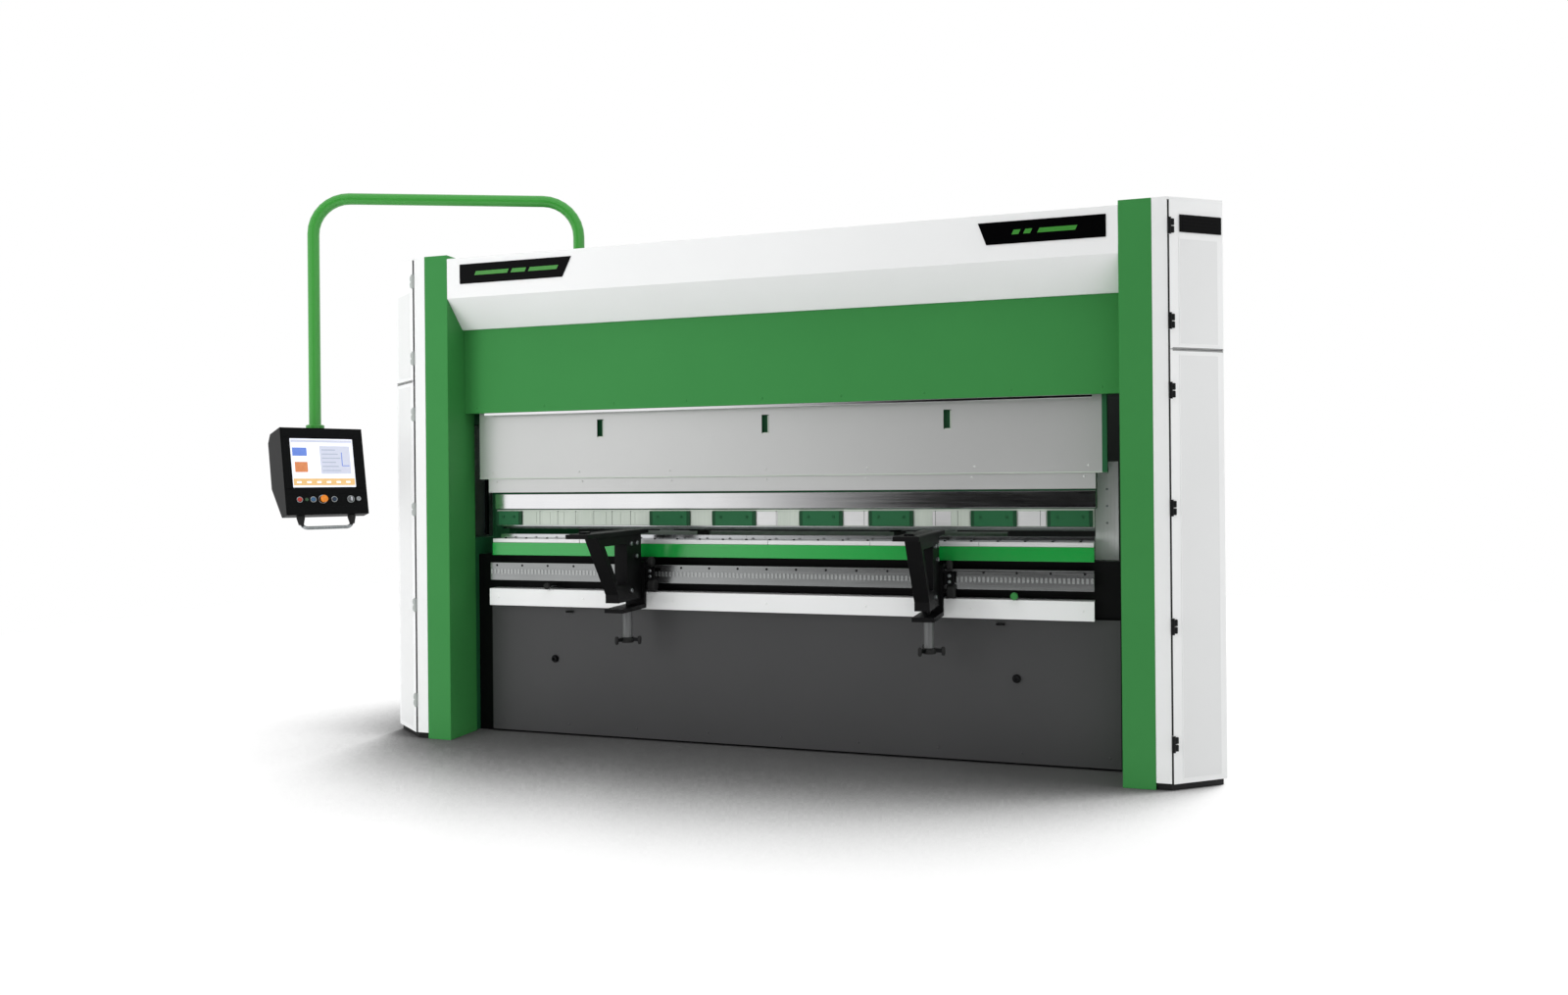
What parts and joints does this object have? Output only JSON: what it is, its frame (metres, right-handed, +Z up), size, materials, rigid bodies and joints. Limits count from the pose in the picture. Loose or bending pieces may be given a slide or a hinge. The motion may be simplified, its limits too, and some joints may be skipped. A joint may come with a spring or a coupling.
{
  "type": "press brake",
  "caption": "Floor-standing hydraulic press brake with a sliding ram between two covered side frames, sheet supports at the front and a control panel on an overhead arm.",
  "frame": {"origin": "on the floor under the middle of the bend line, on the bottom face of the bed beam", "axes": "+X along the bend line to the right as the operator sees it, -Y towards the operator, +Z up"},
  "size_m": [4.689, 1.9433, 2.87],
  "materials": {
    "green_paint": "satin powder coat",
    "dark_green_paint": "satin paint on welded plate",
    "bright_green_paint": "satin paint",
    "white_paint": "satin powder coat",
    "grey_paint": "satin powder coat",
    "dark_grey_paint": "satin powder coat",
    "black_paint": "satin paint",
    "ground_steel": "ground",
    "rod_chrome": "polished",
    "black_housing": "fine texture",
    "red_plastic": "gloss",
    "blue_plastic": "gloss",
    "orange_plastic": "gloss",
    "grey_plastic": "satin",
    "handle_metal": "satin"
  },
  "bodies": {
    "frame": {"side_frame_left": "dark_green_paint", "side_frame_right": "dark_green_paint", "rear_tie_beam": "dark_green_paint", "top_tie_beam": "dark_green_paint", "end_guard_left": "dark_green_paint", "column_front_left": "green_paint", "column_front_right": "green_paint", "front_cover": "green_paint", "table_top": "bright_green_paint", "column_post_left": "white_paint", "column_post_right": "white_paint", "side_cover_left": "white_paint", "side_cover_right": "white_paint", "upper_cover": "white_paint", "lower_rail": "white_paint", "end_guard_right": "grey_paint", "oil_tank": "grey_paint", "electrical_cabinet": "grey_paint", "cylinder_left": "grey_paint", "cylinder_right": "grey_paint", "backgauge_base_left": "grey_paint", "backgauge_base_right": "grey_paint", "bed_apron": "dark_grey_paint", "rear_guard": "dark_grey_paint", "pump_motor": "dark_grey_paint", "arm_socket": "dark_grey_paint", "bed_beam": "black_paint", "die": "ground_steel", "support_rail": "ground_steel", "ram_guide_left": "ground_steel", "ram_guide_right": "ground_steel"},
    "ram": {"ram_beam": "dark_green_paint", "ram_front_skin": "grey_paint", "ram_nose_cover": "grey_paint", "punch_holder": "ground_steel", "punch": "ground_steel", "piston_rod_left": "rod_chrome", "piston_rod_right": "rod_chrome"},
    "arm": {"pendant_arm": "green_paint"},
    "panel": {"pendant_housing": "black_housing", "pendant_handle": "handle_metal"},
    "start_button": {"push_button_start": "red_plastic"},
    "reset_button": {"push_button_reset": "blue_plastic"},
    "mode_button": {"push_button_mode": "blue_plastic"},
    "stop_button": {"emergency_stop": "orange_plastic"},
    "selector": {"selector_knob": "grey_plastic"},
    "door_lower_left": {"door_lower_left": "white_paint"},
    "door_lower_right": {"door_lower_right": "white_paint"},
    "door_upper_left": {"door_upper_left": "white_paint"},
    "door_upper_right": {"door_upper_right": "white_paint"},
    "gauge_carriage": {"backgauge_carriage": "grey_paint"},
    "gauge_beam": {"backgauge_beam": "ground_steel"},
    "finger_left": {"backgauge_finger_left": "dark_grey_paint"},
    "finger_right": {"backgauge_finger_right": "dark_grey_paint"},
    "support_left": {"support_carriage_left": "black_paint"},
    "support_arm_left": {"support_arm_left": "black_paint"},
    "support_screw_left": {"support_screw_left": "black_paint"},
    "support_right": {"support_carriage_right": "black_paint"},
    "support_arm_right": {"support_arm_right": "black_paint"},
    "support_screw_right": {"support_screw_right": "black_paint"}
  },
  "joints": [
    {"name": "ram_slide", "type": "slide", "parent": "frame", "child": "ram", "axis": [0, 0, 1], "range_m": [-0.034, 0.231]},
    {"name": "pendant_arm_swing", "type": "hinge", "parent": "frame", "child": "arm", "pos_m": [-1.14, 0.13, 2.4], "axis": [0, 0, 1], "range_deg": [-30, 75]},
    {"name": "pendant_swivel", "type": "hinge", "parent": "arm", "child": "panel", "pos_m": [-2.42419, -0.40193, 1.59], "axis": [0, 0, 1], "range_deg": [-60, 60]},
    {"name": "start_button_press", "type": "slide", "parent": "panel", "child": "start_button", "axis": [-0.8471, 0.4891, -0.2079], "range_m": [0, 0.005], "stiffness_N_per_m": 400, "springref_m": -0.002},
    {"name": "reset_button_press", "type": "slide", "parent": "panel", "child": "reset_button", "axis": [-0.8471, 0.4891, -0.2079], "range_m": [0, 0.005], "stiffness_N_per_m": 400, "springref_m": -0.002},
    {"name": "mode_button_press", "type": "slide", "parent": "panel", "child": "mode_button", "axis": [-0.8471, 0.4891, -0.2079], "range_m": [0, 0.005], "stiffness_N_per_m": 400, "springref_m": -0.002},
    {"name": "selector_turn", "type": "hinge", "parent": "panel", "child": "selector", "pos_m": [-2.21953, -0.38153, 1.24702], "axis": [-0.8471, 0.4891, -0.2079], "range_deg": [-45, 45]},
    {"name": "stop_button_press", "type": "slide", "parent": "panel", "child": "stop_button", "axis": [-0.8471, 0.4891, -0.2079], "range_m": [0, 0.006], "stiffness_N_per_m": 600, "springref_m": -0.002},
    {"name": "door_lower_left_hinge", "type": "hinge", "parent": "frame", "child": "door_lower_left", "pos_m": [-1.8623, -0.333, 0.03], "axis": [0, 0, 1], "range_deg": [0, 38]},
    {"name": "door_lower_right_hinge", "type": "hinge", "parent": "frame", "child": "door_lower_right", "pos_m": [1.8623, -0.333, 0.03], "axis": [0, 0, -1], "range_deg": [0, 110]},
    {"name": "door_upper_left_hinge", "type": "hinge", "parent": "frame", "child": "door_upper_left", "pos_m": [-1.8623, -0.333, 1.8595], "axis": [0, 0, 1], "range_deg": [0, 110]},
    {"name": "door_upper_right_hinge", "type": "hinge", "parent": "frame", "child": "door_upper_right", "pos_m": [1.8623, -0.333, 1.8595], "axis": [0, 0, -1], "range_deg": [0, 110]},
    {"name": "support_left_slide", "type": "slide", "parent": "frame", "child": "support_left", "axis": [1, 0, 0], "range_m": [-0.7, 0.55]},
    {"name": "support_left_lift", "type": "slide", "parent": "support_left", "child": "support_arm_left", "axis": [0, 0, 1], "range_m": [-0.02, 0.02]},
    {"name": "support_left_screw_turn", "type": "hinge", "parent": "support_left", "child": "support_screw_left", "pos_m": [-0.68, -0.27, 0.6895], "axis": [0, 0, 1], "range_deg": [-1445, 1445]},
    {"name": "support_right_slide", "type": "slide", "parent": "frame", "child": "support_right", "axis": [1, 0, 0], "range_m": [-0.5, 0.5]},
    {"name": "support_right_lift", "type": "slide", "parent": "support_right", "child": "support_arm_right", "axis": [0, 0, 1], "range_m": [-0.02, 0.02]},
    {"name": "support_right_screw_turn", "type": "hinge", "parent": "support_right", "child": "support_screw_right", "pos_m": [0.82, -0.27, 0.6895], "axis": [0, 0, 1], "range_deg": [-1445, 1445]},
    {"name": "backgauge_slide", "type": "slide", "parent": "frame", "child": "gauge_carriage", "axis": [0, 1, 0], "range_m": [-0.22, 0.33]},
    {"name": "backgauge_lift", "type": "slide", "parent": "gauge_carriage", "child": "gauge_beam", "axis": [0, 0, 1], "range_m": [-0.035, 0.08]},
    {"name": "finger_left_slide", "type": "slide", "parent": "gauge_beam", "child": "finger_left", "axis": [1, 0, 0], "range_m": [-0.4, 0.4]},
    {"name": "finger_right_slide", "type": "slide", "parent": "gauge_beam", "child": "finger_right", "axis": [1, 0, 0], "range_m": [-0.4, 0.4]}
  ],
  "couplings": [
    {"joint": "support_left_screw_turn", "follows": "support_left_lift", "rad_per_m": -1256.6},
    {"joint": "support_right_screw_turn", "follows": "support_right_lift", "rad_per_m": -1256.6}
  ]
}
